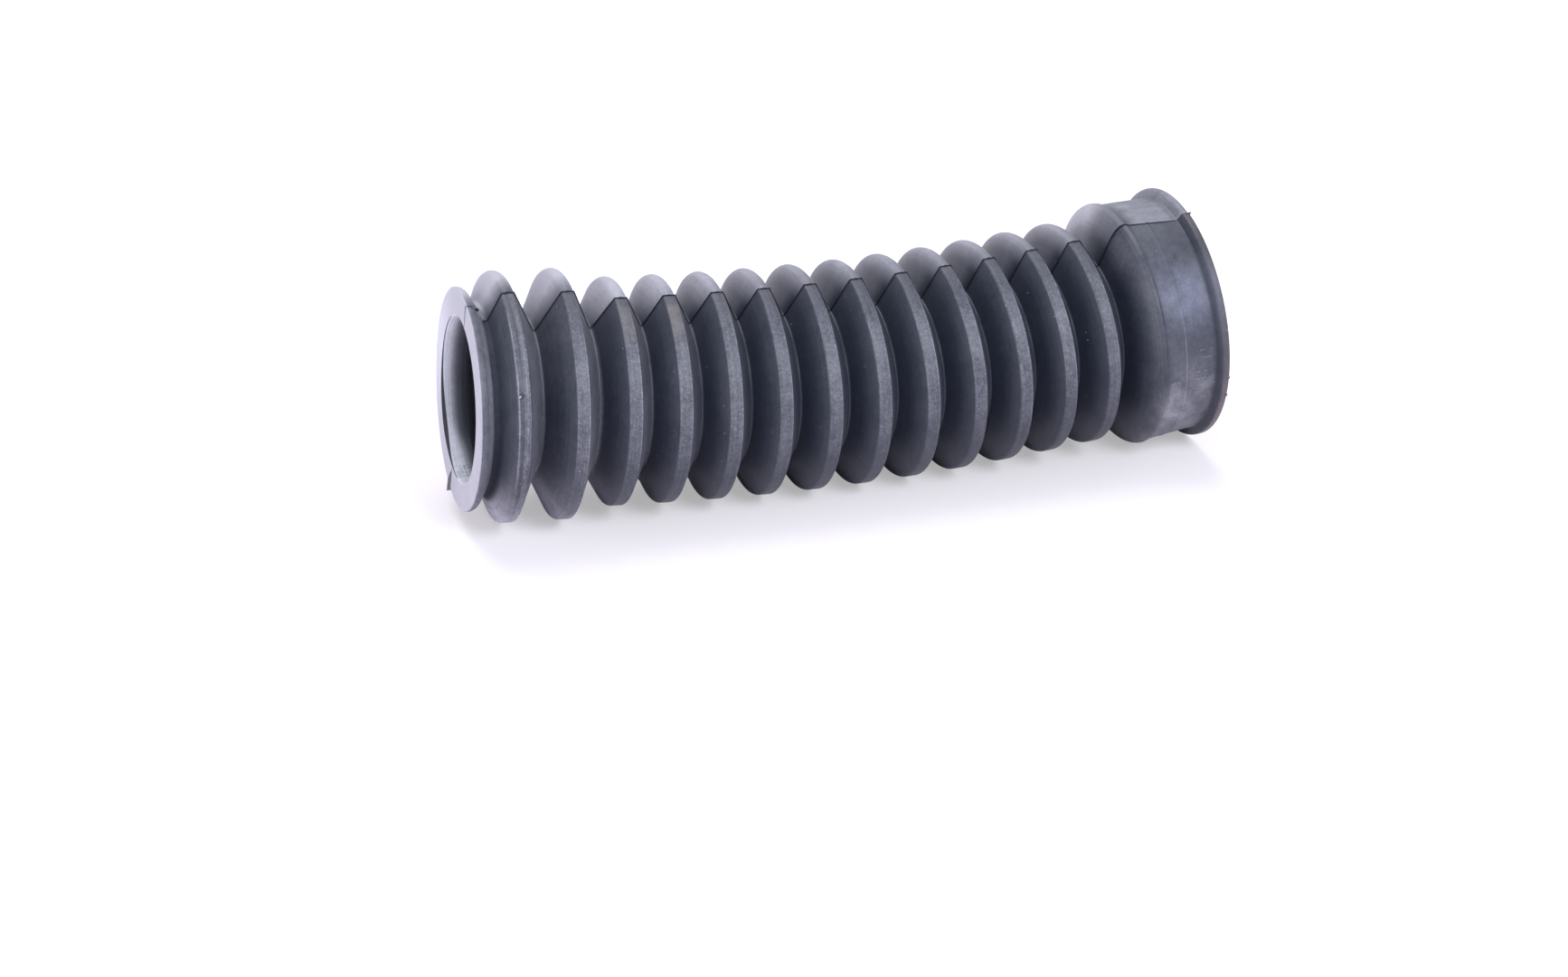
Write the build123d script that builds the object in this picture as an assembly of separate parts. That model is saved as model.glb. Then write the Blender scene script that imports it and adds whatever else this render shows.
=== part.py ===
from build123d import *

import math
import os

# Bellows boot: one moulded rubber piece, open at both ends.
# It lies along +X with the centre of its small mouth's face at the origin, and +Z is up.
# It is soft, so between its stiff ends its axis sags and leans a little as it lies.
# A corner of the section is (distance along the axis, radius), in millimetres.

# Folded wall
wall = 1.8                     # thickness of the folds
root_radius = 19.4             # outside radius at the bottom of each fold
root_land = 0.6                # flat bottom of each fold
crest_land = 2.9               # flat top of each crest
crest_radius = 28.0            # outside radius of the even run of folds
crest_pitch = 12.15            # spacing of the even run of folds
crest_count = 11               # folds in the even run
lead_crest_radius = 30.6       # outside radius of the larger folds by the small mouth
lead_pitch = 14.4              # spacing of the larger folds
lead_count = 2                 # larger folds by the small mouth
step_pitch = 13.4              # spacing from the last larger fold to the even run
first_crest = 9.75             # centre of the first crest from the small mouth's face

# Small mouth: a lip, and behind it a groove for a spring clip
mouth_bore_radius = 20.3
lip_radius = 27.4
lip_land = 1.85                # flat outer band of the lip
lip_back = 2.15                # length of the cone behind the lip
lip_bevel = 0.4                # narrow bevel on the lip's front edge
groove_radius = 23.4
groove_width = 1.35

# Large mouth: a shoulder, a collar for a band clamp, and a rim that keeps the clamp on
shoulder_radius = 31.0
shoulder_rise = 5.2            # length along the axis of the last flank
shoulder_land = 1.0
shoulder_round = 1.0           # rounding of the shoulder's top
collar_radius = 30.5           # outside of the collar beside the shoulder
collar_waist_radius = 29.8     # outside of the collar beside the rim
collar_length = 14.05
collar_bore_radius = 27.4
ring_height = 0.3              # how far the slim ring stands up from the collar
ring_width = 0.5
ring_place = 5.6               # from the shoulder to the ring's near edge
rim_radius = 32.0
rim_slope = 1.1                # length along the axis of the slope from collar to rim
rim_land = 1.75
rim_bevel = 0.35               # narrow bevels on both edges of the rim

# How the soft boot lies on a level surface
sag = 3.22                     # how far its middle hangs down
lean = 2.25                    # how far its middle leans towards -Y
sag_skew = 0.17                # share by which the lowest place moves to the large mouth
sag_ease = 0.28                # share by which the bend eases off towards the ends
fold_crowding = 1.13           # how far the middle folds move towards the large mouth
crowding_skew = 0.5            # share by which that move gathers towards the large mouth
rest_flat_depth = 0.33         # how far its weight flattens the lowest rings
fold_turn = 2.2                # degrees by which the later folds turn about their near edges

# Crests from the small mouth to the large one
lead_centres = [first_crest + lead_pitch * index for index in range(lead_count)]
even_start = lead_centres[-1] + step_pitch
even_centres = [even_start + crest_pitch * index for index in range(crest_count)]
crests = [(centre, lead_crest_radius) for centre in lead_centres]
crests += [(centre, crest_radius) for centre in even_centres]

# Distances along the axis
groove_start = lip_land + lip_back
groove_end = groove_start + groove_width
last_root = even_centres[-1] + crest_pitch / 2
shoulder_start = last_root + root_land / 2 + shoulder_rise
collar_start = shoulder_start + shoulder_land
collar_end = collar_start + collar_length
rim_start = collar_end + rim_slope
boot_end = rim_start + rim_land


def radius_at(station, start, end):
    """Radius at a distance along the axis, on the straight line from start to end."""
    share = (station - start[0]) / (end[0] - start[0])
    return start[1] + share * (end[1] - start[1])


def station_at(radius, start, end):
    """Distance along the axis where the straight line from start to end has a radius."""
    share = (radius - start[1]) / (end[1] - start[1])
    return start[0] + share * (end[0] - start[0])


def fold_corners():
    """Outside corners of the folds, from the groove's floor to the shoulder."""
    centres = [centre for centre, radius in crests]
    roots = [(near + far) / 2 for near, far in zip(centres, centres[1:])] + [last_root]
    corners = [(groove_end, groove_radius)]
    for (centre, radius), root in zip(crests, roots):
        corners.append((centre - crest_land / 2, radius))
        corners.append((centre + crest_land / 2, radius))
        corners.append((root - root_land / 2, root_radius))
        corners.append((root + root_land / 2, root_radius))
    corners.append((shoulder_start, shoulder_radius))
    return corners


def moved_in(before, corner, after):
    """A corner of the folds moved in by the wall, square to the lines on both its sides."""
    arriving = (Vector(*corner) - Vector(*before)).normalized()
    leaving = (Vector(*after) - Vector(*corner)).normalized()
    square_to_arriving = Vector(arriving.Y, -arriving.X)
    square_to_leaving = Vector(leaving.Y, -leaving.X)
    middle = (square_to_arriving + square_to_leaving).normalized()
    inside = Vector(*corner) + middle * (wall / middle.dot(square_to_arriving))
    return (inside.X, inside.Y)


def inside_corners(folds):
    """Inside corners from one bore to the other: the folds, moved in by the wall."""
    corners = [moved_in(*three) for three in zip(folds, folds[1:], folds[2:])]
    first_slope = Vector(*folds[0]) - Vector(*folds[1])
    last_slope = Vector(*folds[-1]) - Vector(*folds[-2])
    first_line = (corners[0], (corners[0][0] + first_slope.X, corners[0][1] + first_slope.Y))
    last_line = (corners[-1], (corners[-1][0] + last_slope.X, corners[-1][1] + last_slope.Y))
    corners.insert(0, (station_at(mouth_bore_radius, *first_line), mouth_bore_radius))
    corners.append((station_at(collar_bore_radius, *last_line), collar_bore_radius))
    return corners


def collar_corners():
    """Outside corners of the collar, with its slim ring, and of the rim."""
    slope = ((collar_start, collar_radius), (collar_end, collar_waist_radius))
    ring_near = collar_start + ring_place
    ring_far = ring_near + ring_width
    near_foot = radius_at(ring_near, *slope)
    far_foot = radius_at(ring_far, *slope)
    return [
        (collar_start, shoulder_radius),
        (collar_start, collar_radius),
        (ring_near, near_foot),
        (ring_near, near_foot + ring_height),
        (ring_far, near_foot + ring_height),
        (ring_far, far_foot),
        (collar_end, collar_waist_radius),
        (rim_start, rim_radius),
        (boot_end, rim_radius),
    ]


folds = fold_corners()
hollow = inside_corners(folds)

# The axis is bent between the end of the small bore and the foot of the last flank
bend_start = hollow[0][0]
bend_end = last_root + root_land / 2

# Share of the folds' turn at distances along the axis, on straight runs between them
turn_shares = [
    (bend_start, 0),
    (even_centres[0], 0),
    (even_centres[2], 0.25),
    (even_centres[4], 0.8),
    (even_centres[6], 1),
    (even_centres[-1] + crest_land / 2, 1),
    (bend_end, 0),
]


def hang(station):
    """How far the bent axis hangs at a distance along it, as a share of the sag."""
    share = 2 * (station - bend_start) / (bend_end - bend_start) - 1
    return (1 - share**2) * (1 + sag_skew * share - sag_ease * share**2)


def hang_slope(end):
    """Change of that share over each millimetre at the near end, -1, or the far end, 1."""
    return -4 * end * (1 + sag_skew * end - sag_ease) / (bend_end - bend_start)


# The stiff ends run on straight, and the middles of both mouths are level with each other
mouth_hang = -hang_slope(-1) * bend_start
rim_hang = hang_slope(1) * (boot_end - bend_end)
rise = (rim_hang - mouth_hang) / boot_end


def bent_place(station):
    """The bent axis at a distance along it."""
    sunk = hang(station) - mouth_hang - rise * station
    share = (station - even_centres[0]) / (even_centres[-1] - even_centres[0])
    turn = math.pi * min(max(share, 0), 1)
    crowding = fold_crowding * math.sin(turn) * (1 - crowding_skew * math.cos(turn))
    return Vector(station + crowding, -lean * sunk, -sag * sunk)


def direction(slope):
    """The axis's direction where the share of the sag changes at a slope."""
    return Vector(1, -lean * (slope - rise), -sag * (slope - rise)).normalized()


def fold_turn_at(station):
    """The folds' turn about +Z, in degrees, at a distance along the axis."""
    for start, end in zip(turn_shares, turn_shares[1:]):
        if station <= end[0]:
            share = (station - start[0]) / (end[0] - start[0])
            return fold_turn * (start[1] + share * (end[1] - start[1]))
    return 0


def axis_frame(station):
    """A plane at a distance along the axis: its X runs square to the folds."""
    if station <= bend_start:
        along = direction(hang_slope(-1))
        place = along * station
    elif station >= bend_end:
        along = direction(hang_slope(1))
        place = bent_place(bend_end) + along * (station - bend_end)
    else:
        step = 0.01
        along = (bent_place(station + step) - bent_place(station - step)).normalized()
        turn = fold_turn_at(station)
        along = along.rotate(Axis.Z, turn)
        place = bent_place(station) - Vector(crest_radius * math.radians(turn), 0, 0)
    return Plane(place, x_dir=along, z_dir=along.cross(Vector(0, 1, 0)))


def ring(station, radius):
    """A disc square to the axis."""
    frame = axis_frame(station)
    return Plane(frame.origin, x_dir=frame.y_dir, z_dir=frame.x_dir) * Circle(radius)


def make_folds(corners):
    """The solid inside a run of corners, ring after ring along the bent axis."""
    return loft([ring(*corner) for corner in corners], ruled=True)


def make_mouth():
    """The lip and the groove's floor behind it, without the bore."""
    outside = [(0, 0), (0, lip_radius), (lip_land, lip_radius), (groove_start, groove_radius)]
    with BuildPart() as mouth:
        with BuildSketch():
            with BuildLine():
                Polyline(*outside, (groove_end, groove_radius), (groove_end, 0), close=True)
            make_face()
        revolve(axis=Axis.X)
        front = mouth.edges().filter_by(GeomType.CIRCLE).group_by(Axis.X)[0]
        chamfer(front, lip_bevel)
    return axis_frame(0) * mouth.part


def make_collar():
    """The last flank, the shoulder, the collar with its slim ring, and the rim."""
    foot = (bend_end, root_radius)
    top = (shoulder_start, shoulder_radius)
    with BuildSketch() as section:
        with BuildLine():
            Polyline((bend_end, 0), foot, top, *collar_corners(), (boot_end, 0), close=True)
        make_face()

        def corner_at(station, radius):
            return section.vertices().sort_by_distance((station, radius))[0]

        fillet(corner_at(shoulder_start, shoulder_radius), shoulder_round)
        chamfer(corner_at(rim_start, rim_radius), rim_bevel)
        chamfer(corner_at(boot_end, rim_radius), rim_bevel)
    with BuildPart() as collar:
        add(section.sketch)
        revolve(axis=Axis.X)
    return axis_frame(bend_end) * (Pos(-bend_end, 0, 0) * collar.part)


def make_bore(radius, start, end):
    """A cylinder along the axis of one of the stiff ends."""
    length = end - start
    return axis_frame(start) * (Pos(length / 2, 0, 0) * Rot(0, 90, 0) * Cylinder(radius, length))


def make_boot():
    """The outside less the hollow, with flats where the lowest rings rest."""
    outside = make_mouth() + make_folds(folds[:-1]) + make_collar()
    small_bore = make_bore(mouth_bore_radius, -wall, hollow[0][0])
    large_bore = make_bore(collar_bore_radius, hollow[-1][0], boot_end + wall)
    boot = outside - (small_bore + make_folds(hollow) + large_bore)
    ground = boot.bounding_box().min.Z + rest_flat_depth
    below = Pos(boot_end / 2, 0, ground) * Box(
        2 * boot_end,
        4 * rim_radius,
        rim_radius,
        align=(Align.CENTER, Align.CENTER, Align.MAX),
    )
    return boot - below


os.makedirs("parts", exist_ok=True)
export_step(make_boot(), "parts/bellows_boot.step")
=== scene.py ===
import functools
import math

import bmesh
import bpy
from mathutils import Matrix, Vector


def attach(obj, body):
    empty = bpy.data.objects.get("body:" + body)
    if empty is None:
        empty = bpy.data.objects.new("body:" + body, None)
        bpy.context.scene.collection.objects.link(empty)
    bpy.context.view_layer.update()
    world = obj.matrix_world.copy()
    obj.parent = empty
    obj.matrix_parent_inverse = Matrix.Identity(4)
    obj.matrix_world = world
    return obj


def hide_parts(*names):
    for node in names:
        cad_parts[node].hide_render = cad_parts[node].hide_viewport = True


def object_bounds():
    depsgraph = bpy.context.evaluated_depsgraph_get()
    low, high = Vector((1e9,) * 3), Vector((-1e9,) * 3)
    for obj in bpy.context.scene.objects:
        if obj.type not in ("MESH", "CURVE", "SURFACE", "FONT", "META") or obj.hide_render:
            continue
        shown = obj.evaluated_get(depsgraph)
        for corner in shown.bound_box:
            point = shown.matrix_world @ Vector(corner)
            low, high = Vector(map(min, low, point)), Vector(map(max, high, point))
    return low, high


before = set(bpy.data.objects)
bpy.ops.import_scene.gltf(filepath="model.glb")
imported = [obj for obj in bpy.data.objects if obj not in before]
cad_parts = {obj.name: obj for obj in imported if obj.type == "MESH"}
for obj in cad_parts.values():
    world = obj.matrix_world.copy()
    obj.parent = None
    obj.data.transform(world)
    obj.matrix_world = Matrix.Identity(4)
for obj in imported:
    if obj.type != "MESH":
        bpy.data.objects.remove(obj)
cad_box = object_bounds()


# ---------------------------------------------------------------------------
# The boot
# One piece of black rubber, moulded between two halves that don't quite match:
# the half on the near side leaves crests with flat tops and crisp edges, the
# half on the far side leaves them round. It lies on its side and sags a little.
# ---------------------------------------------------------------------------

# Sizes are in millimetres. A station is a distance from the small mouth, along the
# boot while it is still straight.
mm = 0.001
wall = 1.8
fine_round = 0.3
root_radius = 19.4
root_land = 0.6
crest_radius = 28.0
crest_pitch = 12.15
near_crest_land = 2.9
far_crest_land = 2.6
far_crest_rise = 0.25
lead_crest_radius = 30.6
lead_crests = [9.75, 24.15]
first_even_crest = 37.55
even_crest_count = 11
even_crests = [first_even_crest + crest_pitch * index for index in range(even_crest_count)]
crests = [(centre, lead_crest_radius) for centre in lead_crests]
crests += [(centre, crest_radius) for centre in even_crests]
last_root = even_crests[-1] + crest_pitch / 2

# The lip, its groove and the small bore
lip_radius = 27.4
lip_land = 1.85
groove_radius = 23.4
groove_start = 4.2
groove_end = 5.35
mouth_radius = 20.3
bore_end = 6.18

# The shoulder, and the collar with its slim ring, its rim and its bore
shoulder_radius = 31.0
shoulder_end = 170.5
step_start = 171.9
step_end = 172.3
ring_start = 177.2
ring_end = 177.75
ring_slope = 0.15
ring_round = 0.05
ring_near_radius = 30.22
ring_far_radius = 30.19
waist_end = 185.675
waist_radius = 29.8
rim_start = 186.775
rim_radius = 32.0
boot_length = 188.525
collar_bore_radius = 27.4
collar_bore_start = 170.95


def inset(before, corner, after, depth):
    """A corner of a line moved in by a depth, square to the runs on both sides of it."""
    arriving = (Vector(corner) - Vector(before)).normalized()
    leaving = (Vector(after) - Vector(corner)).normalized()
    square_to_arriving = Vector((arriving.y, -arriving.x))
    square_to_leaving = Vector((leaving.y, -leaving.x))
    middle = (square_to_arriving + square_to_leaving).normalized()
    return Vector(corner) + middle * (depth / middle.dot(square_to_arriving))


def crest_line(crest_land, crest_rise):
    """Outside corners of all the folds, from the groove's floor to the last root."""
    centres = [centre for centre, radius in crests]
    roots = [(near + far) / 2 for near, far in zip(centres, centres[1:])] + [last_root]
    line = [(groove_end, groove_radius)]
    for (centre, radius), root in zip(crests, roots):
        line.append((centre - crest_land / 2, radius + crest_rise))
        line.append((centre + crest_land / 2, radius + crest_rise))
        line.append((root - root_land / 2, root_radius))
        line.append((root + root_land / 2, root_radius))
    return line


def moulded_section(
    crest_land, crest_rise, left_round, right_round, shoulder_bend, step, ring, rim_round
):
    """Corners of the closed section as (station, radius, how far its rounding reaches)."""
    folds = crest_line(crest_land, crest_rise)
    line = folds + [(shoulder_end, shoulder_radius)]
    lip = [
        (0, mouth_radius, 0.9),
        (0, lip_radius, 0.55),
        (lip_land, lip_radius, 1.2),
        (groove_start, groove_radius, 0.5),
        (groove_end, groove_radius, 0.5),
    ]
    roundings = [left_round, right_round, fine_round, fine_round] * len(crests)
    outside = [(*corner, reach) for corner, reach in zip(folds[1:], roundings)]
    collar = [
        *shoulder_bend,
        (step_start, shoulder_radius, 0.1),
        (step_end, shoulder_radius - step, 0.2),
        (ring_start, ring_near_radius, ring_round),
        (ring_start + ring_slope, ring_near_radius + ring, ring_round),
        (ring_end - ring_slope, ring_far_radius + ring, ring_round),
        (ring_end, ring_far_radius, ring_round),
        (waist_end, waist_radius, 0.35),
        (rim_start, rim_radius, rim_round),
        (boot_length, rim_radius, rim_round),
        (boot_length, collar_bore_radius, 0.4),
    ]
    inner = [inset(*three, wall) for three in zip(line, line[1:], line[2:])]
    inside = [(collar_bore_start, collar_bore_radius, fine_round)]
    inside += [(corner.x, corner.y, fine_round) for corner in reversed(inner)]
    inside.append((bore_end, mouth_radius, fine_round))
    return lip + outside + collar + inside


near_half = moulded_section(
    crest_land=near_crest_land,
    crest_rise=0,
    left_round=0.4,
    right_round=0.15,
    shoulder_bend=[(167.6, 25.4, 1.2), (169.4, 29.4, 1.2), (170.9, 30.85, 0.6)],
    step=0.4,
    ring=0.12,
    rim_round=0.35,
)
far_half = moulded_section(
    crest_land=far_crest_land,
    crest_rise=far_crest_rise,
    left_round=1.28,
    right_round=1.28,
    shoulder_bend=[(167.3, 25.2, 1.5), (168.9, 29.5, 1.4), (170.7, 31.15, 0.8)],
    step=0.6,
    ring=0.02,
    rim_round=0.8,
)


def draw_section(corners):
    """A mesh with the closed section drawn as a wire, its corners rounded."""
    mesh = bmesh.new()
    verts = [mesh.verts.new((station, 0, radius)) for station, radius, _ in corners]
    for pair in zip(verts, verts[1:] + verts[:1]):
        mesh.edges.new(pair)
    for vert, (_, _, reach) in zip(verts, corners):
        bmesh.ops.bevel(
            mesh,
            geom=[vert],
            offset=reach,
            offset_type="OFFSET",
            segments=4,
            profile=0.5,
            affect="VERTICES",
            material=-1,
        )
    return mesh


def between(stations, station):
    """The value at a station, on straight runs between the stations that have one."""
    for (low, low_value), (high, high_value) in zip(stations, stations[1:]):
        if station <= high:
            break
    share = min(max((station - low) / (high - low), 0), 1)
    return low_value + share * (high_value - low_value)


# The near half's section is turned right round the axis. The turned copies of it that
# belong to the far half then take that half's corners, and the copies beside the two
# parting lines close up on them, so that the halves meet in a sharp small step.
turn_steps = 160
half_steps = turn_steps // 2
parting_gap = 0.12
parting_edge = 0.3

shape = draw_section(near_half)
far_wire = draw_section(far_half)
far_corners = [vert.co.copy() for vert in far_wire.verts]
far_wire.free()
corner_number = shape.verts.layers.int.new("corner_number")
for index, vert in enumerate(shape.verts):
    vert[corner_number] = index
near_corners = [vert.co.copy() for vert in shape.verts]
bmesh.ops.spin(
    shape,
    geom=list(shape.verts) + list(shape.edges),
    cent=(0, 0, 0),
    axis=(1, 0, 0),
    angle=2 * math.pi,
    steps=turn_steps,
    use_merge=True,
    use_duplicate=False,
)
bmesh.ops.recalc_face_normals(shape, faces=shape.faces)


def parting_angle(step):
    """The angle of a turned copy: the copies of each half keep clear of the other half."""
    half, place = divmod(step, half_steps)
    last = half_steps - 1
    ends = {
        0: parting_gap,
        1: parting_edge,
        last - 1: 180 - parting_edge,
        last: 180 - parting_gap,
    }
    spacing = (180 - 2 * parting_edge) / (last - 2)
    angle = ends.get(place, parting_edge + (place - 1) * spacing)
    return math.radians(angle + 180 * half)


# The turned copies take their places. The hollow inside the folds is marked on the way,
# because it gathers dust of its own.
hollow_start = 6.12
hollow_end = 186
hollow_depth = 1.5
outer_line = crest_line(near_crest_land, 0)
outer_line += [(shoulder_end, shoulder_radius), (boot_length, shoulder_radius)]
dust_layer = shape.verts.layers.float.new("extra_dust")
for vert in shape.verts:
    deep = math.hypot(vert.co.y, vert.co.z) < between(outer_line, vert.co.x) - hollow_depth
    vert[dust_layer] = -1 if deep and hollow_start < vert.co.x < hollow_end else 0
    turned = math.atan2(-vert.co.y, vert.co.z) % (2 * math.pi)
    step = round(turned / (2 * math.pi) * turn_steps) % turn_steps
    corners = near_corners if step < half_steps else far_corners
    vert.co = Matrix.Rotation(parting_angle(step), 3, "X") @ corners[vert[corner_number]]

# How the soft boot has settled: its two stiff ends stay straight, and between them its
# middle sags and leans towards the near side until it touches the floor. Its folds lie
# closer together towards the large mouth, and the parting lines twist a little. The
# lists run over (station, value).
bend_start = bore_end
bend_end = last_root + root_land / 2
sag = 3.22
lean = 2.25
sag_skew = 0.17
sag_ease = 0.28
fold_crowding = 1.13
crowding_skew = 0.5
fold_turn = math.radians(2.2)
fold_turn_shares = [
    (even_crests[0], 0),
    (even_crests[2], 0.25),
    (even_crests[4], 0.8),
    (even_crests[6], 1),
    (160.5, 1),
    (bend_end, 0),
]
mouth_turn = math.radians(-0.7)
mouth_turn_shares = [(groove_start, 1), (8.3, 0)]
parting_turns = [
    (0, 12.0),
    (4.8, 14.5),
    (9.7, 11.4),
    (17, 13.2),
    (100, 11.9),
    (160, 11.6),
    (172, 13.6),
    (184, 14.6),
    (188.5, 16.8),
]
floor_height = cad_box[0][2]
nudge = 0.01
crisp_angle = math.radians(40)


def hang(station):
    """How far the bent axis hangs at a station, as a share of the sag."""
    share = 2 * (station - bend_start) / (bend_end - bend_start) - 1
    return (1 - share**2) * (1 + sag_skew * share - sag_ease * share**2)


def hang_slope(end):
    """Change of that share over each millimetre at the near end, -1, or the far end, 1."""
    return -4 * end * (1 + sag_skew * end - sag_ease) / (bend_end - bend_start)


mouth_hang = -hang_slope(-1) * bend_start
rim_hang = hang_slope(1) * (boot_length - bend_end)
rise = (rim_hang - mouth_hang) / boot_length


def bent_place(station):
    """The settled axis at a station between the stiff ends."""
    sunk = hang(station) - mouth_hang - rise * station
    share = (station - even_crests[0]) / (even_crests[-1] - even_crests[0])
    turn = math.pi * min(max(share, 0), 1)
    crowding = fold_crowding * math.sin(turn) * (1 - crowding_skew * math.cos(turn))
    return Vector((station + crowding, -lean * sunk, -sag * sunk))


def direction(slope):
    """The axis's direction where the share of the sag changes at a slope."""
    return Vector((1, -lean * (slope - rise), -sag * (slope - rise))).normalized()


@functools.lru_cache(maxsize=None)
def lie_at(station):
    """The settled axis at a station, and where the straight boot's Y and Z now point."""
    if station <= bend_start:
        along = direction(hang_slope(-1))
        place = along * station
    elif station >= bend_end:
        along = direction(hang_slope(1))
        place = bent_place(bend_end) + along * (station - bend_end)
    else:
        along = (bent_place(station + nudge) - bent_place(station - nudge)).normalized()
        place = bent_place(station)
    turn = fold_turn * between(fold_turn_shares, station)
    place = place - Vector((crest_radius * turn, 0, 0))
    turn = turn + mouth_turn * between(mouth_turn_shares, station)
    along = Matrix.Rotation(turn, 3, "Z") @ along
    side = (Vector((0, 1, 0)) - along * along.y).normalized()
    twist = Matrix.Rotation(math.radians(between(parting_turns, station)), 3, "X")
    lie = Matrix((along, side, along.cross(side))).transposed() @ twist
    return place, lie.col[1].copy(), lie.col[2].copy()


def settle(point):
    """Where a point of the straight boot, in millimetres, lies on the settled one."""
    place, side, up = lie_at(round(point.x, 4))
    placed = (place + side * point.y + up * point.z) * mm
    placed.z = max(placed.z, floor_height)
    return placed


def make_piece(name, mesh, material, dust=0):
    """Settles a mesh with the boot and makes it an object that rides with it."""
    moulded = mesh.verts.layers.float_vector.new("moulded")
    dust_layers = mesh.verts.layers.float
    extra_dust = dust_layers.get("extra_dust") or dust_layers.new("extra_dust")
    for vert in mesh.verts:
        vert[moulded] = vert.co
        vert[extra_dust] += dust
        vert.co = settle(vert.co)
    data = bpy.data.meshes.new(name)
    mesh.to_mesh(data)
    mesh.free()
    data.materials.append(material)
    data.polygons.foreach_set("use_smooth", [True] * len(data.polygons))
    data.set_sharp_from_angle(angle=crisp_angle)
    piece = bpy.data.objects.new(name, data)
    bpy.context.collection.objects.link(piece)
    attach(piece, "root")
    return piece


class Value:
    """An output in a material's node tree. Arithmetic on it adds Math nodes."""

    def __init__(self, socket):
        self.socket = socket
        self.tree = socket.id_data

    def node(self, kind, settings, inputs, output=0):
        """Adds any other node: its settings first, then its input values and links."""
        made = self.tree.nodes.new("ShaderNode" + kind)
        for name, setting in settings.items():
            setattr(made, name, setting)
        for name, value in inputs.items():
            if isinstance(value, Value):
                value.feed(made.inputs[name])
            else:
                made.inputs[name].default_value = value
        return Value(made.outputs[output])

    def feed(self, socket):
        """Links this output to another node's input."""
        self.tree.links.new(self.socket, socket)

    def maths(self, operation, *values):
        """A Math node with this output as its first value."""
        inputs = dict(enumerate((self, *values)))
        return self.node("Math", {"operation": operation}, inputs)

    def __add__(self, other):
        return self.maths("ADD", other)

    def __sub__(self, other):
        return self.maths("SUBTRACT", other)

    def __mul__(self, other):
        return self.maths("MULTIPLY", other)

    def __truediv__(self, other):
        return self.maths("DIVIDE", other)

    __radd__ = __add__
    __rmul__ = __mul__

    def __rsub__(self, other):
        return (self * -1) + other

    def ramp(self, low, high):
        """0 below the low value, 1 above the high one, and smooth between them."""
        inputs = {"Value": self, "From Min": low, "From Max": high}
        return self.node("MapRange", {"interpolation_type": "SMOOTHSTEP"}, inputs)

    def band(self, middle, reach):
        """1 at the middle value, and smoothly down to 0 at the reach on both sides."""
        return 1 - (self - middle).maths("ABSOLUTE").ramp(0, reach)

    def noise(self, scale, detail=3, roughness=0.55):
        """Soft noise about 0.5 at this place."""
        inputs = {"Vector": self, "Scale": scale, "Detail": detail, "Roughness": roughness}
        return self.node("TexNoise", {}, inputs)

    def distance(self, spot):
        """How far this place is from a spot."""
        return self.node("VectorMath", {"operation": "DISTANCE"}, {0: self, 1: spot}, 1)

    def mix(self, first, second):
        """The first colour where this factor is 0, the second where it is 1."""
        return self.node("Mix", {"data_type": "RGBA"}, {0: self, 6: first, 7: second}, 2)


def new_material(name):
    """A material, its node tree and its shader."""
    material = bpy.data.materials.new(name)
    material.use_nodes = True
    return material, material.node_tree, material.node_tree.nodes["Principled BSDF"]


def attribute(tree, name, output):
    """A value that the pieces' meshes carry at each of their points."""
    made = tree.nodes.new("ShaderNodeAttribute")
    made.attribute_name = name
    return Value(made.outputs[output])


# The rubber's colour is bloom over dark rubber, with painted light and shade mixed into it
# Where a point was on the straight boot: station and radius in millimetres, and degrees
# round from the upper parting line, below 0 on the near half and above it on the far one
rubber, rubber_tree, rubber_shader = new_material("rubber_bloom_and_painted_light")
place = attribute(rubber_tree, "moulded", "Vector")
station = place.node("SeparateXYZ", {}, {0: place}, 0)
across = place.node("SeparateXYZ", {}, {0: place}, 1)
upward = place.node("SeparateXYZ", {}, {0: place}, 2)
radius = (across * across + upward * upward).maths("SQRT")
angle = across.maths("ARCTAN2", upward)
degrees = angle * math.degrees(1)
far_side = across.ramp(-0.1, 0.1)
near_side = 1 - far_side

# Where on a fold: signed distance from the middle of the nearest crest, and height up it
# from 0 at the root to 1 at the crest
first_fold_end = 17
lead_folds_end = 31
half_pitch = crest_pitch / 2
first_side = station.maths("LESS_THAN", first_fold_end)
lead_side = station.maths("LESS_THAN", lead_folds_end)
from_first = station - lead_crests[1] + first_side * (lead_crests[1] - lead_crests[0])
from_even = (station - even_crests[0]).maths("WRAP", half_pitch, -half_pitch)
from_crest = from_even + lead_side * (from_first - from_even)
top_radius = lead_side * (lead_crest_radius - crest_radius) + crest_radius
height = (radius - root_radius) / (top_radius - root_radius)

# Where along the boot
toward_mouth = 1 - station.ramp(-10, 90)
on_folds = 1 - station.ramp(162.5, 165)
on_shoulder = station.ramp(164, 168)
collar = station.ramp(171.5, 174)

# Bloom is the pale dust that rubber sweats out. The same paleness also carries painted light and
# shade: painted highlights, painted light reflected from the floor and painted shade in hollows,
# each named below where it is painted. It lies heaviest on the far half near the small mouth, and
# the near half's folds have almost none down inside them, which is partly painted shade. It is
# uneven: in broad blotches, a mottle, fine grain, and streaks that run round the boot.
ring_place = {0: station * 2.2, 1: radius * 2.2, 2: angle * 0.9}
streaks = place.node("CombineXYZ", {}, ring_place).noise(1.0, 4)
blotches = place.noise(0.16, 4)
mottle = place.noise(0.55, 5, 0.65)
grain = place.noise(2.6, 3)
freckles = place.noise(1.3, 4, 0.7) - 0.5
texture = (mottle - 0.5) * 1.2 + (grain - 0.5) * 1.1 + (blotches - 0.5) * 1.1
texture = texture + (streaks - 0.5) * 1.2 - (streaks - 0.5) * 0.9 * collar
texture = texture * (1 - far_side * (0.6 - 0.4 * collar))
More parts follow.
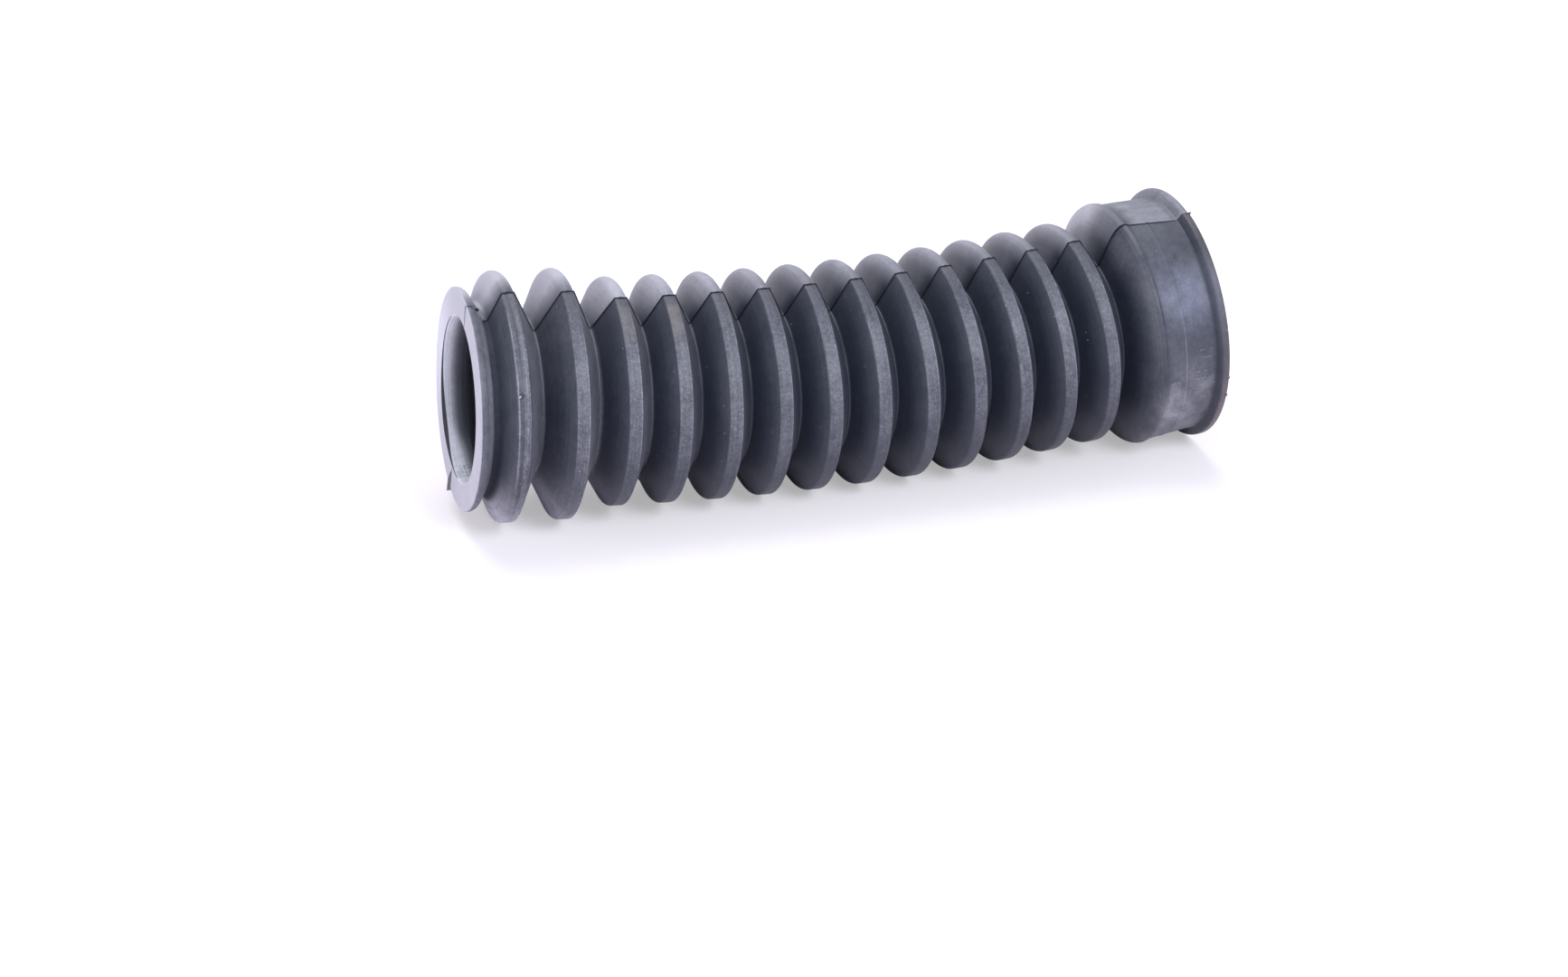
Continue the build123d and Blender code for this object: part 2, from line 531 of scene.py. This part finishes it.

# The far half: pale on top of each fold and darker down towards the valleys and beside the upper
# parting line, which is painted shading of the round folds lit from above and behind; near the
# small mouth it is paler and the paleness reaches down to the valleys. The shoulder is likewise
# painted darker beside the upper parting line and paler round its back.
far_collar_bloom = 0.45
far_crest_bloom = 0.67 + 0.72 * toward_mouth
dark_below = 0.46 - 1.3 * toward_mouth
beside_parting = 1 - degrees.ramp(-2, 24)
parting_dip = 0.5 * (1 - toward_mouth) + lead_side * (0.68 + 0.17 * first_side)
valley_haze = 0.2 * (1 - toward_mouth) * degrees.ramp(0, 16) * (1 - height.ramp(0.4, 0.9))
far_bloom_and_shading = far_crest_bloom * height.ramp(dark_below, 1.03)
far_bloom_and_shading = far_bloom_and_shading * (1 - beside_parting * parting_dip) + valley_haze
shoulder_back = degrees.ramp(14, 36)
shoulder_flank = station.ramp(163.5, 166) * (1 - station.ramp(169, 172))
far_bloom_and_shading = far_bloom_and_shading * (1 - 0.5 * on_shoulder * (1 - shoulder_back)) + 0.02 * on_shoulder
far_bloom_and_shading = far_bloom_and_shading + 0.38 * shoulder_back * shoulder_flank
far_bloom_and_shading = far_bloom_and_shading + station.ramp(171.5, 176) * (far_collar_bloom - far_bloom_and_shading)

# The near half's folds: a thin dust, thinner down towards the roots, where the darkening is partly
# painted shade; dust with a painted highlight on the crests' flat tops where they face up and
# forwards towards the front softbox, and dust with a painted glint along the edges of the tops.
# Near the small mouth the right flanks are paler, partly painted light from the front softbox, the
# second fold's flanks are paler high and low, and underneath there is painted light reflected up
# from the floor.
crest_edge = near_crest_land / 2
facing = 0.2 + 0.8 * degrees.ramp(-4, -42) * (1 - degrees.ramp(-53, -110))
land = height.ramp(0.93, 1.0) * on_folds
first_crest = first_side * station.ramp(5.4, 6)
thin_dust_and_valley_shade = 0.018 + 0.028 * toward_mouth + 0.038 * height.ramp(0.3, 1.0)
land_dust_and_highlight = land * facing * (0.173 - 0.04 * first_crest)
left_edge = from_crest.band(-crest_edge, 0.35) * height.ramp(0.9, 1.0) * on_folds
left_edge_dust_and_glint = left_edge * (0.06 + 0.3 * first_crest)
right_edge = from_crest.band(crest_edge, 0.4) * land
right_edge_dust_and_glint = right_edge * (0.14 + 0.2 * toward_mouth) * (1 - first_crest * 0.8)
worn_strip = from_crest.band(0.5, 0.7) * 0.055 - from_crest.band(-0.7, 0.7) * 0.06
right_flank = from_crest.ramp(1.6, 2.2) * (1 - station.ramp(36, 72)) * on_folds
second_flank = lead_side * (1 - first_side) * (1 - land) * (1 - degrees.band(-62, 40))
underside = degrees.ramp(-95, -135) * (1 - station.ramp(25, 40)) * station.ramp(4.5, 6)
near_bloom_and_painted_light = thin_dust_and_valley_shade + land_dust_and_highlight + (left_edge_dust_and_glint + right_edge_dust_and_glint) * facing
near_bloom_and_painted_light = near_bloom_and_painted_light + worn_strip * first_crest * land
near_bloom_and_painted_light = near_bloom_and_painted_light + right_flank * (0.1 + 0.045 * first_crest) + second_flank * 0.032
near_bloom_and_painted_light = near_bloom_and_painted_light + underside * (0.17 + 0.32 * first_side + 0.4 * degrees.ramp(-115, -145))

# The lip is dusty, more so on its back, and the groove behind it is painted dark as shade, a little
# less so higher up
lip_band = (1 - station.ramp(3.4, 4.4)) * radius.ramp(22.5, 23)
lip_back = station.ramp(1.9, 2.8) * (0.02 + 0.16 * degrees.ramp(-95, -60))
near_bloom_and_painted_light = near_bloom_and_painted_light + lip_band * (0.17 + lip_back)
groove_run = station.ramp(3.6, 4.2) * (1 - station.ramp(5.4, 6.6))
groove = groove_run * (1 - radius.ramp(24.6, 26)) * radius.ramp(21.5, 22)
shaded_groove_tone = 0.012 + 0.04 * degrees.ramp(-95, -55)
near_bloom_and_painted_light = near_bloom_and_painted_light * (1 - groove) + groove * shaded_groove_tone

# The near half's collar: a little dust all over, a painted highlight in a strip where it faces up
# towards the front softbox, scuffs low down, and painted shade that darkens it towards the rim,
# most of all beside the rim low down
strip_fade = (0.78 + 0.22 * station.ramp(174, 179)) * (1 - 0.25 * station.ramp(184, 185.5))
lit_strip = collar * degrees.band(-43, 26) * strip_fade
collar_dust = collar * (0.07 + 0.02 * degrees.ramp(-32, -12))
scuffed = station.ramp(168, 174) * degrees.ramp(-70, -105) * (1 - degrees.ramp(-135, -160))
beside_rim = station.ramp(181.5, 185.5) * degrees.ramp(-75, -100)
near_bloom_and_painted_light = near_bloom_and_painted_light + collar_dust + lit_strip * 0.165
near_bloom_and_painted_light = near_bloom_and_painted_light + scuffed * (0.17 + 0.9 * (blotches - 0.43))
near_bloom_and_painted_light = near_bloom_and_painted_light * (1 - beside_rim * 0.4) * (1 - 0.12 * station.ramp(179, 183))

# The slim ring has a painted highlight part of the way round, where it catches the front softbox.
# The shoulder's top and side and the collar's foot have more dust, and a band round the shoulder
# has a painted highlight; the collar's upper corner, beside the highlight, and the foot of the step
# are painted darker as shade
slim_ring = station.band(177.5, 0.4) * degrees.ramp(-45, -55) * (1 - degrees.ramp(-95, -105))
shoulder_top = station.band(171.8, 2.2) * degrees.band(-12, 24)
shoulder_band = station.band(171.0, 3.2) * degrees.band(-42, 38)
shoulder_side = station.band(168.3, 2.6) * degrees.band(-13, 18)
collar_foot = station.ramp(165, 169) * degrees.ramp(-110, -140) * (1 - station.ramp(181, 185))
top_corner = station.ramp(177, 182) * degrees.ramp(-26, -10)
step_foot = station.band(step_start, 0.7) * (1 - degrees.ramp(-75, -90))
near_bloom_and_painted_light = near_bloom_and_painted_light + slim_ring * 0.16 + shoulder_top * (0.01 + 0.5 * (streaks - 0.4))
near_bloom_and_painted_light = near_bloom_and_painted_light + shoulder_band * 0.085 + shoulder_side * 0.09 + collar_foot * 0.07
near_bloom_and_painted_light = near_bloom_and_painted_light * (1 - top_corner * 0.3) * (1 - step_foot * 0.1)

# Both halves: the feet of the rim and of the far shoulder are painted darker as shade, and so is
# the near rim, most of all low down. The small mouth's face and the start of its bore are palest:
# the face with dust and painted reflected light, the bore with painted light that falls in at the
# mouth and fades with depth.
mouth_bloom_and_light = 0.95
bloom_and_painted_light = near_bloom_and_painted_light + far_side * (far_bloom_and_shading - near_bloom_and_painted_light)
near_rim_foot = station.band(185.9, 1.1) * near_side
far_rim_foot = station.band(185.0, 1.8) * far_side
far_shoulder_foot = station.band(172.6, 2.2) * far_side
painted_foot_shade = near_rim_foot * 0.65 + far_rim_foot * 0.34 + far_shoulder_foot * 0.32
rim_shade = station.ramp(185.5, 186.3) * near_side * (0.12 + 0.42 * degrees.ramp(-60, -95))
bloom_and_painted_light = bloom_and_painted_light * (1 - painted_foot_shade) * (1 - rim_shade)
mouth_face = 1 - station.ramp(0.15, 0.5)
inside = (1 - radius.ramp(20.5, 20.8)) * (1 - station.ramp(6, 6.3))
depth = station - 1.3 * (1 - degrees.ramp(5, 40) + degrees.ramp(140, 172))
in_bore = inside * (0.7 * (1 - depth.ramp(0.7, 4.3)) + 0.29 * (1 - depth.ramp(2, 7)))
bloom_and_painted_light = bloom_and_painted_light * (1 - inside)
bloom_and_painted_light = bloom_and_painted_light + mouth_face.maths("MAXIMUM", in_bore) * (mouth_bloom_and_light - bloom_and_painted_light)

# The hollow inside the folds has its own dust, and the collar's marks have a little more
hollow_bloom = 0.42
extra_dust = attribute(rubber_tree, "extra_dust", "Fac")
hollow = 1 - extra_dust.ramp(-1, 0)
bloom_and_painted_light = bloom_and_painted_light + hollow * (hollow_bloom - bloom_and_painted_light) + extra_dust.maths("MAXIMUM", 0) * 0.12

# The bloom breaks up: mottled all over, freckled on the crests, streaked on the first one, and
# darker along the parting lines, where it is partly rubbed off and partly painted shadow of the
# fins
bloom_and_painted_light = bloom_and_painted_light * (1 + texture * (1 - mouth_face * 0.8)) + texture * 0.012
bloom_and_painted_light = bloom_and_painted_light * (1 + freckles * 2.2 * land * near_side)
bloom_and_painted_light = bloom_and_painted_light * (1 + (streaks - 0.5) * 1.7 * first_crest * land * near_side)
parting_line = across.band(0, 0.26) * radius.ramp(20.8, 21)
rubbed_off_and_fin_shadow = 0.2 + 0.75 * height.ramp(0.4, 0.9) * station.ramp(5, 8)
bloom_and_painted_light = bloom_and_painted_light * (1 - parting_line * rubbed_off_and_fin_shadow)

# A nick in the first crest, with a pale speck stuck in it
nick_station = 9.0
nick_radius = 30.56
nick_turn = math.radians(54.2)
nick_side = -nick_radius * math.sin(nick_turn)
nick_height = nick_radius * math.cos(nick_turn)
nick = 1 - place.distance((nick_station, nick_side, nick_height)).ramp(0.5, 1.0)
speck_place = (nick_station - 0.4, nick_side, nick_height - 0.1)
stuck_speck = 1 - place.distance(speck_place).ramp(0.15, 0.4)
bloom_and_painted_light = bloom_and_painted_light * (1 - nick * 0.85) + stuck_speck * 0.9

# Specks of pale dirt, sparse and small
cells = {"Vector": place, "Scale": 0.42}
speck_spot = 1 - place.node("TexVoronoi", {}, cells, 0).ramp(0.04, 0.10)
speck_pick = place.node("SeparateColor", {}, {0: place.node("TexVoronoi", {}, cells, 1)}, 0)
speck = speck_spot * speck_pick.ramp(0.86, 0.92)
bloom_and_painted_light = bloom_and_painted_light + speck * 0.6
bloom_and_painted_light = bloom_and_painted_light.node("Clamp", {}, {0: bloom_and_painted_light})

# Bloom over dark rubber: a violet painted highlight along the collar's strip, whitest in the small
# mouth with painted light in its bore, and brown with dirt on some crests and on the rim
dark_rubber = (0.009, 0.0135, 0.027, 1)
pale_bloom = (0.37, 0.36, 0.42, 1)
bore_dust_and_light = (0.66, 0.67, 0.76, 1)
violet_highlight = (0.36, 0.37, 0.52, 1)
earthy = (0.17, 0.145, 0.13, 1)
rim_brown = (0.12, 0.092, 0.095, 1)
blotchy = 0.3 + blotches
brown_crests = land * station.band(45, 18) * degrees.ramp(-5, -10) * (1 - degrees.ramp(-22, -32))
brown_rim = station.ramp(186.4, 187.4) * near_side * (0.3 + 0.6 * degrees.ramp(-70, -100))
whiter = (in_bore * 1.3).maths("MAXIMUM", mouth_face * (0.1 + 0.5 * degrees.band(90, 70)))
outer_dust_and_highlight = lit_strip.mix(pale_bloom, violet_highlight)
dust_and_light_colour = whiter.maths("MINIMUM", 1).mix(outer_dust_and_highlight, bore_dust_and_light)
colour = bloom_and_painted_light.mix(dark_rubber, dust_and_light_colour)
colour = (brown_crests * 0.48 * blotchy).mix(colour, earthy)
colour = (brown_rim * blotchy).mix(colour, rim_brown)
colour.feed(rubber_shader.inputs["Base Color"])

# Dusty rubber is duller, and its skin is very slightly uneven
roughness = 0.4 + bloom_and_painted_light * 0.3 + grain * 0.1 + inside * 0.3 + groove * 0.5
roughness.feed(rubber_shader.inputs["Roughness"])
relief_depth = 0.1 * mm
relief = grain * 0.5 + streaks * 0.5 + mottle * 0.5
relief_inputs = {"Strength": 0.35, "Distance": relief_depth, "Height": relief}
relief.node("Bump", {}, relief_inputs).feed(rubber_shader.inputs["Normal"])
rubber_shader.inputs["Sheen Weight"].default_value = 0.035
rubber_shader.inputs["Sheen Roughness"].default_value = 0.5
rubber_shader.inputs["Specular IOR Level"].default_value = 0.42

boot = make_piece("boot_body", shape, rubber)
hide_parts("bellows_boot")


# ---------------------------------------------------------------------------
# The flash
# Thin skins of rubber that crept between the two mould halves along both parting
# lines, and round the core at the small mouth. Most are torn short, and a few
# longer shreds are left on at the lip and the rim.
# ---------------------------------------------------------------------------

# A fin's foot is sunk a little into the rubber, and its two ends are lower
fin_height = 0.28
fin_thickness = 0.3
fin_foot = 0.1
fin_end = 0.3


def make_fin(name, line, turn, height, material):
    """A thin fin on a line of (station, radius), at an angle round the straight boot."""
    line = [Vector(corner) for corner in line]
    heights = [fin_end * height] + [height] * (len(line) - 4) + [fin_end * height]
    tips = [inset(*three, -reach) for reach, *three in zip(heights, line, line[1:], line[2:])]
    mesh = bmesh.new()
    feet = [mesh.verts.new((corner.x, 0, corner.y - fin_foot)) for corner in line[1:-1]]
    for pair in zip(feet, feet[1:]):
        mesh.edges.new(pair)
    grown = bmesh.ops.extrude_edge_only(mesh, edges=list(mesh.edges))
    tops = [item for item in grown["geom"] if isinstance(item, bmesh.types.BMVert)]
    for vert in tops:
        foot = min(range(len(feet)), key=lambda index: (feet[index].co - vert.co).length)
        vert.co = Vector((tips[foot].x, 0, tips[foot].y))
    bmesh.ops.solidify(mesh, geom=list(mesh.faces), thickness=fin_thickness)
    bmesh.ops.translate(mesh, verts=mesh.verts, vec=(0, -fin_thickness / 2, 0))
    bmesh.ops.recalc_face_normals(mesh, faces=mesh.faces)
    turned = Matrix.Rotation(turn, 3, "X")
    bmesh.ops.rotate(mesh, verts=mesh.verts, cent=(0, 0, 0), matrix=turned)
    make_piece(name, mesh, material)


# The long fins run from the small mouth's face over all the folds to the rim's foot
rim_corner = [corner[0] for corner in near_half].index(boot_length)
outside_line = [(0, 19), (0, 20.9)] + [corner[:2] for corner in near_half[1:rim_corner]]
make_fin("upper_parting_flash", outside_line, 0, fin_height, rubber)
make_fin("lower_parting_flash", outside_line, math.pi, fin_height, rubber)

dark_flash, _, dark_shader = new_material("dark_flash")
dark_shader.inputs["Base Color"].default_value = (0.075, 0.075, 0.09, 1)
dark_shader.inputs["Roughness"].default_value = 0.7

# Torn skin is dusty, and where it stands on the lip's back it has a small hole, painted as a dark
# spot of shade on the unbroken skin
clean_skin_and_hole_shade = (0.02, 0.02, 0.026, 1)
dusty_skin = (0.42, 0.405, 0.455, 1)
skin_hole = (2.6, -0.35, 26.7)
torn_skin, skin_tree, skin_shader = new_material("torn_skin")
skin_place = attribute(skin_tree, "moulded", "Vector")
outside_hole = skin_place.distance(skin_hole).ramp(0.4, 0.65)
skin_dust = outside_hole * (0.45 + 1.1 * (skin_place.noise(1.4) - 0.2))
skin_colour = skin_dust.node("Clamp", {}, {0: skin_dust}).mix(clean_skin_and_hole_shade, dusty_skin)
skin_colour.feed(skin_shader.inputs["Base Color"])
skin_shader.inputs["Roughness"].default_value = 0.75

# Longer shreds: below the lip and on top of the rim
lip_shred = [(0, 21.4), (0, 22.2), (0, 24.5), (0, 27.4), (1.6, 27.4), (2.2, 27.4)]
make_fin("lip_shred", lip_shred, math.radians(181), 0.75, torn_skin)
rim_shred = [(187.0, 31.8), (187.3, 32.0), (188.5, 32.0), (188.5, 31.5), (188.5, 31.0)]
make_fin("rim_shred", rim_shred, 0, 0.4, dark_flash)

# A thin crescent is left round the core at the small mouth, widest past its middle
crescent_section = [(0.75, 0, 20.25), (-0.2, 0, 20.1), (0.0, 0, 20.9)]
crescent_start = 45
crescent_sweep = 150
crescent_steps = 40
crescent_skew = 1.6
crescent_station = 0.1
crescent_radius = 20.4
thinnest = 0.16
widening = 0.95

core_flash = bmesh.new()
section = [core_flash.verts.new(spot) for spot in crescent_section]
for pair in zip(section, section[1:] + section[:1]):
    core_flash.edges.new(pair)
bmesh.ops.spin(
    core_flash,
    geom=list(core_flash.verts) + list(core_flash.edges),
    cent=(0, 0, 0),
    axis=(-1, 0, 0),
    dvec=(0, 0, 0),
    angle=math.radians(crescent_sweep),
    steps=crescent_steps,
    use_merge=False,
    use_duplicate=False,
)
to_start = Matrix.Rotation(math.radians(-crescent_start), 3, "X")
bmesh.ops.rotate(core_flash, verts=core_flash.verts, cent=(0, 0, 0), matrix=to_start)
for vert in core_flash.verts:
    turn = math.degrees(math.atan2(vert.co.y, vert.co.z)) % 360
    share = min(max((turn - crescent_start) / crescent_sweep, 0), 1)
    width = math.sin(math.pi * share**crescent_skew) ** 3
    edge = Vector((0, vert.co.y, vert.co.z)).normalized() * crescent_radius
    edge.x = crescent_station
    vert.co = edge + (vert.co - edge) * (thinnest + widening * width)
bmesh.ops.holes_fill(core_flash, edges=list(core_flash.edges), sides=3)
bmesh.ops.recalc_face_normals(core_flash, faces=core_flash.faces)
make_piece("core_flash", core_flash, dark_flash)

# A torn web of skin still stands on the lip's back, beside the upper parting line
web_thickness = 0.35
web_shift = -0.2
web_spots = [(1.2, 27.3), (1.4, 27.5), (2.2, 27.6), (3.1, 27.0), (4.2, 25.5), (4.6, 24.4)]
web_spots += [(4.4, 23.7), (3.9, 23.6), (3.0, 25.0), (1.9, 26.9)]
groove_web = bmesh.new()
web_verts = [groove_web.verts.new((along, 0, out)) for along, out in web_spots]
groove_web.faces.new(web_verts)
bmesh.ops.solidify(groove_web, geom=list(groove_web.faces), thickness=web_thickness)
bmesh.ops.recalc_face_normals(groove_web, faces=groove_web.faces)
bmesh.ops.translate(groove_web, verts=groove_web.verts, vec=(0, web_shift, 0))
make_piece("groove_web", groove_web, torn_skin)


# ---------------------------------------------------------------------------
# The collar's marks
# Low raised rubber shapes moulded into the outside of the collar: a small oblong pad and
# rows of plain bars. Their tops are rubbed paler. Two pips stand on the edge of the rim.
# ---------------------------------------------------------------------------

collar_radius = 30.5
collar_taper = 0.05
corner_share = 0.3
edge_share = 0.6


def round_edges(mesh, edges, reach, segments):
    """Rounds edges of a mesh, as far as a reach on both sides of each."""
    bmesh.ops.bevel(
        mesh,
        geom=edges,
        offset=reach,
        segments=segments,
        profile=0.5,
        affect="EDGES",
        material=-1,
    )


def collar_patch(name, middle, turn, length, width, height, dust):
    """A low oblong at a station of the collar, turned round it by an angle in degrees."""
    mesh = bmesh.new()
    bmesh.ops.create_cube(mesh, size=1)
    bmesh.ops.scale(mesh, verts=mesh.verts, vec=(length, width, height * 2))
    corners = [edge for edge in mesh.edges if abs(edge.verts[0].co.z - edge.verts[1].co.z) > height]
    round_edges(mesh, corners, min(length, width) * corner_share, segments=3)
    rims = [edge for edge in mesh.edges if edge.verts[0].co.z > 0 and edge.verts[1].co.z > 0]
    round_edges(mesh, rims, height * edge_share, segments=2)
    for vert in mesh.verts:
        reach = collar_radius - collar_taper * (middle + vert.co.x - step_start)
        round_collar = math.radians(turn) + vert.co.y / reach
        out = reach + vert.co.z
        sideways = out * math.sin(round_collar)
        vert.co = (middle + vert.co.x, sideways, out * math.cos(round_collar))
    make_piece(name, mesh, rubber, dust=dust)


collar_patch(
    "collar_pad", middle=174.4, turn=-90, length=3.2, width=6.4, height=0.25, dust=1
)

# Each bar's station, its turn and its length
bar_width = 0.6
bar_height = 0.11
bars = [
    (182.0, -70, 2.0),
    (184.2, -70, 1.2),
    (183.2, -74, 2.6),
    (180.4, -81, 1.6),
    (182.6, -81, 1.2),
    (181.6, -85, 3.0),
    (181.4, -89, 2.2),
    (180.8, -93, 2.6),
    (183.4, -97, 1.4),
]
for index, (middle, turn, length) in enumerate(bars, start=1):
    collar_patch(f"collar_bar_{index}", middle, turn, length, bar_width, bar_height, dust=0.7)

pip_radius = 0.45
pip_place = (188.2, 0, rim_radius - 0.1)
for index, turn in enumerate((-83, -93), start=1):
    pip = bmesh.new()
    bmesh.ops.create_icosphere(pip, subdivisions=2, radius=pip_radius)
    bmesh.ops.translate(pip, verts=pip.verts, vec=pip_place)
    turned = Matrix.Rotation(math.radians(-turn), 3, "X")
    bmesh.ops.rotate(pip, verts=pip.verts, cent=(0, 0, 0), matrix=turned)
    make_piece(f"rim_pip_{index}", pip, rubber)


# ---------------------------------------------------------------------------
# Floor, lights and camera
# White paper on a table in a pale room, and three softboxes: one high in front, one low
# on the left and one overhead. The camera stands above the boot and to its left.
# ---------------------------------------------------------------------------

floor_size = 6
floor_mesh = bmesh.new()
bmesh.ops.create_grid(floor_mesh, x_segments=1, y_segments=1, size=floor_size)
floor_data = bpy.data.meshes.new("floor")
floor_mesh.to_mesh(floor_data)
floor_mesh.free()
floor_data.transform(Matrix.Translation((0, 0, floor_height)))
floor = bpy.data.objects.new("floor", floor_data)
bpy.context.collection.objects.link(floor)


def white_to_camera(tree, own, share):
    """Blends a share of plain white into a shader, only where the camera looks at it."""
    kind = "Background" if own.node.type == "BACKGROUND" else "Emission"
    white = tree.nodes.new("ShaderNode" + kind)
    white.inputs["Color"].default_value = (1, 1, 1, 1)
    white.inputs["Strength"].default_value = 1
    rays = Value(tree.nodes.new("ShaderNodeLightPath").outputs["Is Camera Ray"])
    shaders = {0: rays * share, 1: Value(own), 2: Value(white.outputs[0])}
    return rays.node("MixShader", {}, shaders)


paper_share = 0.38
paper, paper_tree, paper_shader = new_material("white_paper")
paper_shader.inputs["Base Color"].default_value = (0.92, 0.848, 0.915, 1)
paper_shader.inputs["Roughness"].default_value = 1
paper_shader.inputs["Specular IOR Level"].default_value = 0
paper_seen = white_to_camera(paper_tree, paper_shader.outputs[0], paper_share)
paper_seen.feed(paper_tree.nodes["Material Output"].inputs["Surface"])
floor_data.materials.append(paper)

world = bpy.data.worlds.new("studio")
world.use_nodes = True
world_tree = world.node_tree
world_light = world_tree.nodes["Background"]
world_light.inputs["Color"].default_value = (0.90, 0.95, 1.05, 1)
world_light.inputs["Strength"].default_value = 0.5
world_seen = white_to_camera(world_tree, world_light.outputs[0], 1)
world_seen.feed(world_tree.nodes["World Output"].inputs["Surface"])
bpy.context.scene.world = world


def soft_box(name, place, aim, width, height, power, colour):
    """A rectangular softbox that faces a point. Places and sizes are in metres."""
    lamp = bpy.data.lights.new(name, "AREA")
    lamp.shape = "RECTANGLE"
    lamp.size = width
    lamp.size_y = height
    lamp.energy = power
    lamp.color = colour
    holder = bpy.data.objects.new(name, lamp)
    holder.location = place
    holder.rotation_euler = (Vector(aim) - Vector(place)).to_track_quat("-Z", "Y").to_euler()
    bpy.context.collection.objects.link(holder)


boot_middle = (0.094, 0, -0.004)
small_mouth = (0, 0, 0)
soft_box(
    "front_softbox",
    place=(0.55, -1.4, 1.2),
    aim=boot_middle,
    width=0.7,
    height=0.7,
    power=26,
    colour=(0.88, 0.94, 1),
)
soft_box(
    "left_softbox",
    place=(-1.2, -0.5, 0.45),
    aim=small_mouth,
    width=1.3,
    height=0.9,
    power=11.5,
    colour=(0.97, 0.98, 1),
)
soft_box(
    "top_softbox",
    place=(0.0, 0.6, 1.5),
    aim=boot_middle,
    width=1.2,
    height=1.2,
    power=20,
    colour=(1, 0.99, 1),
)

# A long lens, rolled by less than a degree
camera_roll = math.radians(0.724)
camera_data = bpy.data.cameras.new("camera")
camera_data.sensor_fit = "HORIZONTAL"
camera_data.sensor_width = 36
camera_data.lens = 95.25
camera = bpy.data.objects.new("camera", camera_data)
camera.location = (-0.21725, -0.8935, 0.4170)
looking = Vector((0.28780, 0.85432, -0.43285)).to_track_quat("-Z", "Y").to_matrix()
camera.rotation_euler = (looking @ Matrix.Rotation(camera_roll, 3, "Z")).to_euler()
bpy.context.collection.objects.link(camera)
bpy.context.scene.camera = camera
bpy.context.scene.view_settings.view_transform = "Standard"
